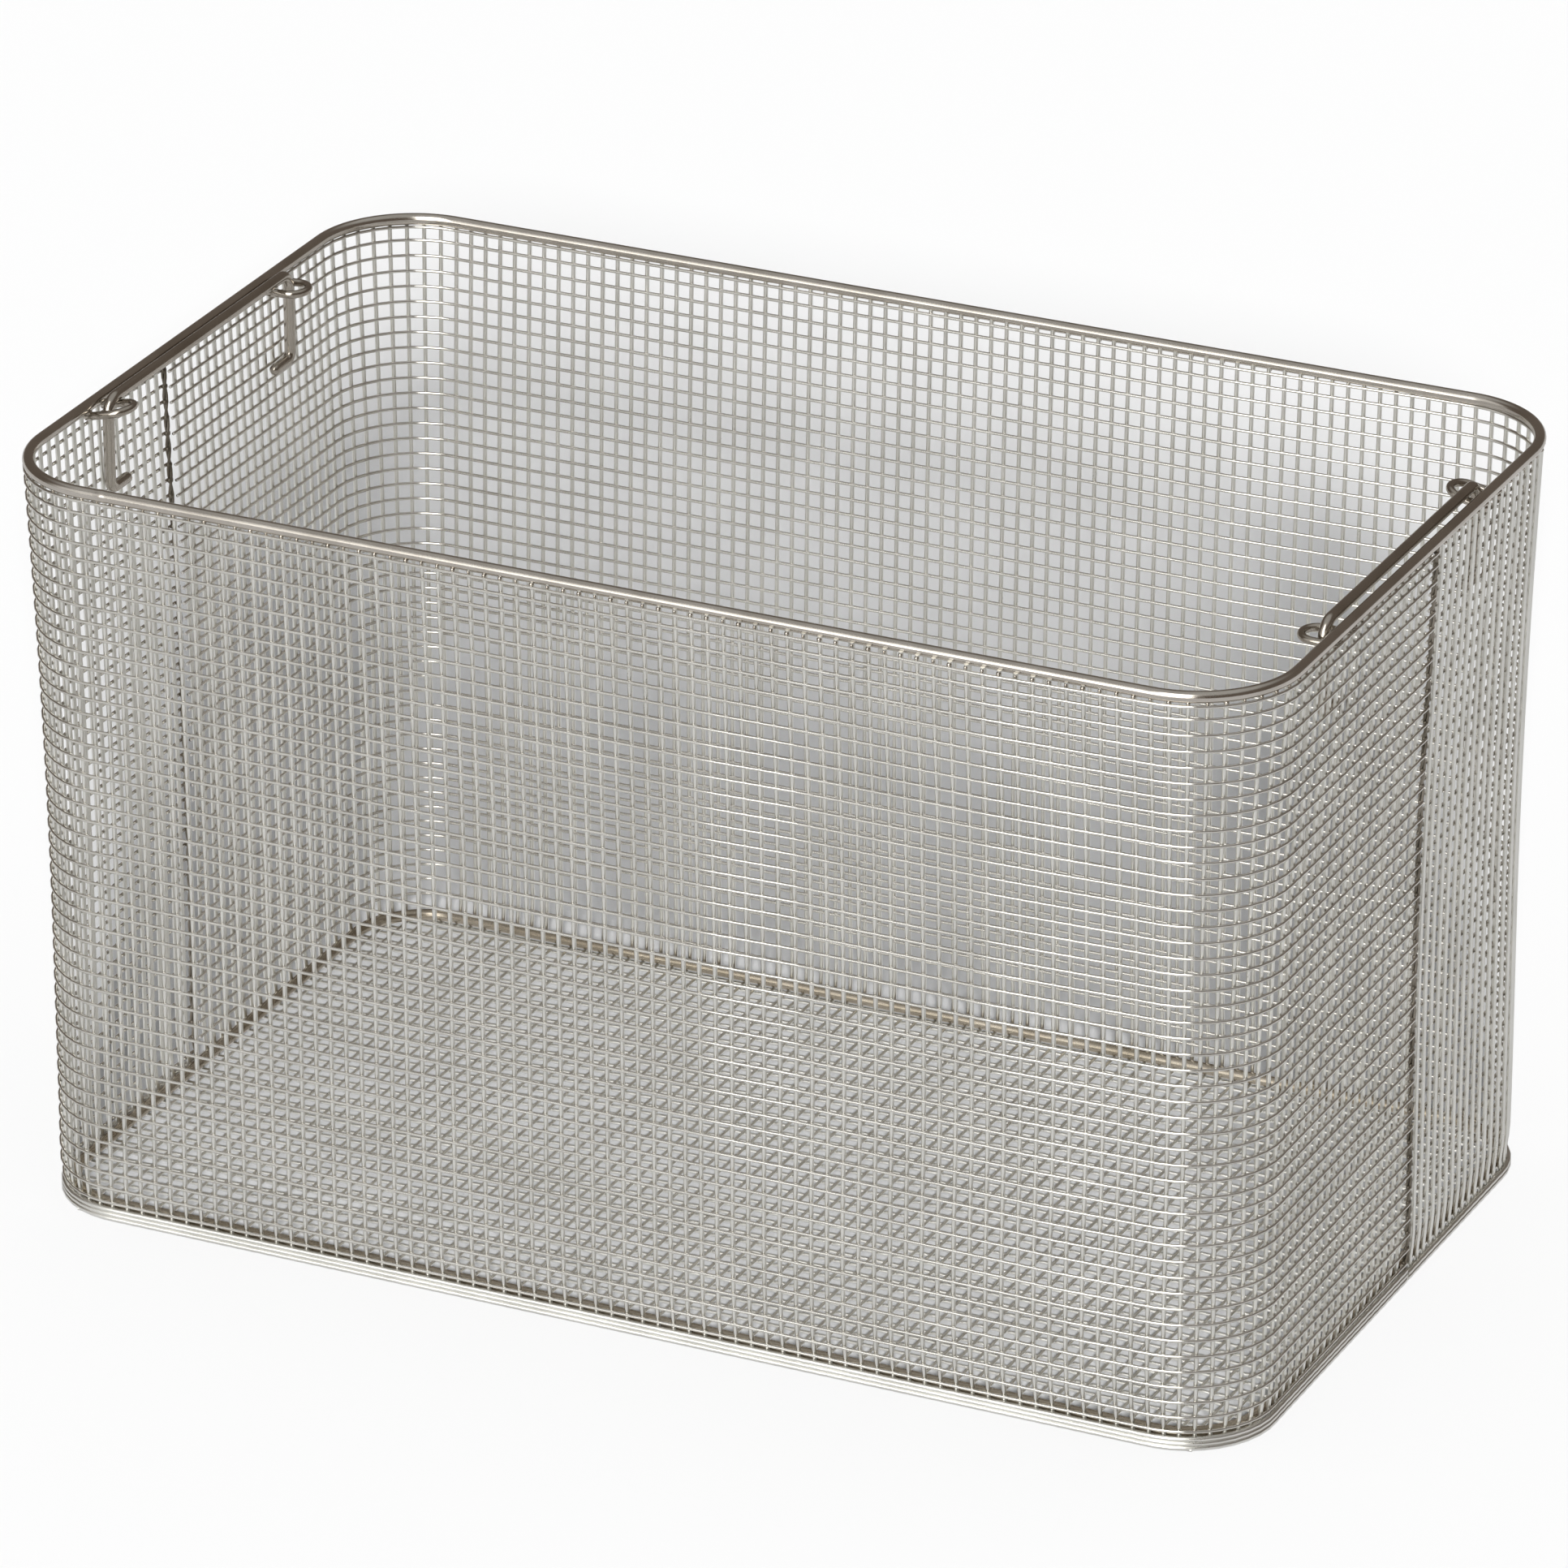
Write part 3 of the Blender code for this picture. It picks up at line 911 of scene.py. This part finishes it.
lamp_data = bpy.data.lights.new("key", "SUN")
lamp_data.energy = LAMP_POWER
lamp_data.angle = LAMP_SPREAD
lamp_data.cycles.max_bounces = 0
lamp = bpy.data.objects.new("key", lamp_data)
lamp.visible_glossy = False
lamp.rotation_mode = "QUATERNION"
lamp.rotation_quaternion = aimed(-view)
bpy.context.scene.collection.objects.link(lamp)
print(f"lamp of strength {LAMP_POWER}")

# %% [markdown]
# ## The room
#
# Steel shows what is around it. A bright window stands before the front wall, from 23 degrees to
# the left of straight ahead to 19 degrees to the right, and a pale wall goes on to its left. The
# right and the back are dark and warm, and above there is a grey ceiling. The flat stretches of
# the level wires miss the window and the steeper ones catch it. Only steel sees this room: the
# camera sees plain white behind the basket, and dull surfaces get a weak, even fill.

# %% World
FILL = 0.16
WINDOW_LEFT = (-24.2, -22.2)
WINDOW_RIGHT = (17, 21)
WINDOW_FOOT = (-0.02, 0.06)
WINDOW_TOP = (0.84, 0.92)
WALL_AHEAD = (0.25, 0.65)
WALL_RIGHT = (17, 23)
PANEL_FOOT = (0.05, 0.20)
PANEL_TOP = (0.55, 0.72)
CEILING_EDGE = (0.60, 0.90)
WINDOW_LIGHT = colour(4.2, 4.2, 4.1)
PANEL_TONE = colour(0.80, 0.80, 0.78)
WALL_TONE = colour(0.58, 0.58, 0.57)
DARK_TONE = colour(0.16, 0.135, 0.115)
CEILING_TONE = colour(0.50, 0.50, 0.49)
WHITE = colour(1, 1, 1)

world = bpy.data.worlds.new("room")
bpy.context.scene.world = world
world.use_nodes = True
world.node_tree.nodes.clear()
start = Shade(world.node_tree)
direction = start.node("ShaderNodeTexCoord", {}, {}, "Generated")
east = start.node("ShaderNodeSeparateXYZ", {}, {"Vector": direction})
north = east.output("Y")
height = east.output("Z")
turn = start.maths("ARCTAN2", east, 0 - north)


def right_of(edge):
    """0 to the left of an edge of the room and 1 to its right, in degrees from straight ahead."""
    return turn.between(math.radians(edge[0]), math.radians(edge[1]))


def background(tone, strength):
    """Light of one tone from all directions."""
    return start.node("ShaderNodeBackground", {}, {"Color": tone, "Strength": strength})


window = right_of(WINDOW_LEFT) * (1 - right_of(WINDOW_RIGHT))
window = window * height.between(*WINDOW_FOOT) * (1 - height.between(*WINDOW_TOP))
room = height.between(*CEILING_EDGE).mix(DARK_TONE, CEILING_TONE)
panel = height.between(*PANEL_FOOT) * (1 - height.between(*PANEL_TOP))
left_front = (0 - north).between(*WALL_AHEAD) * (1 - right_of(WALL_RIGHT))
front = left_front.mix(room, panel.mix(WALL_TONE, PANEL_TONE))
in_steel = background(window.mix(front, WINDOW_LIGHT), 1.0)
past_steel = first_mirror(start).choose(background(WHITE, FILL), in_steel)
to_camera = start.node("ShaderNodeLightPath", {}, {}, "Is Camera Ray")
start.node("ShaderNodeOutputWorld", {}, {
    "Surface": to_camera.choose(past_steel, background(WHITE, 1.0))})
print(f"room of {len(world.node_tree.nodes)} nodes")

# %% Colours as they are written
bpy.context.scene.view_settings.view_transform = "Standard"
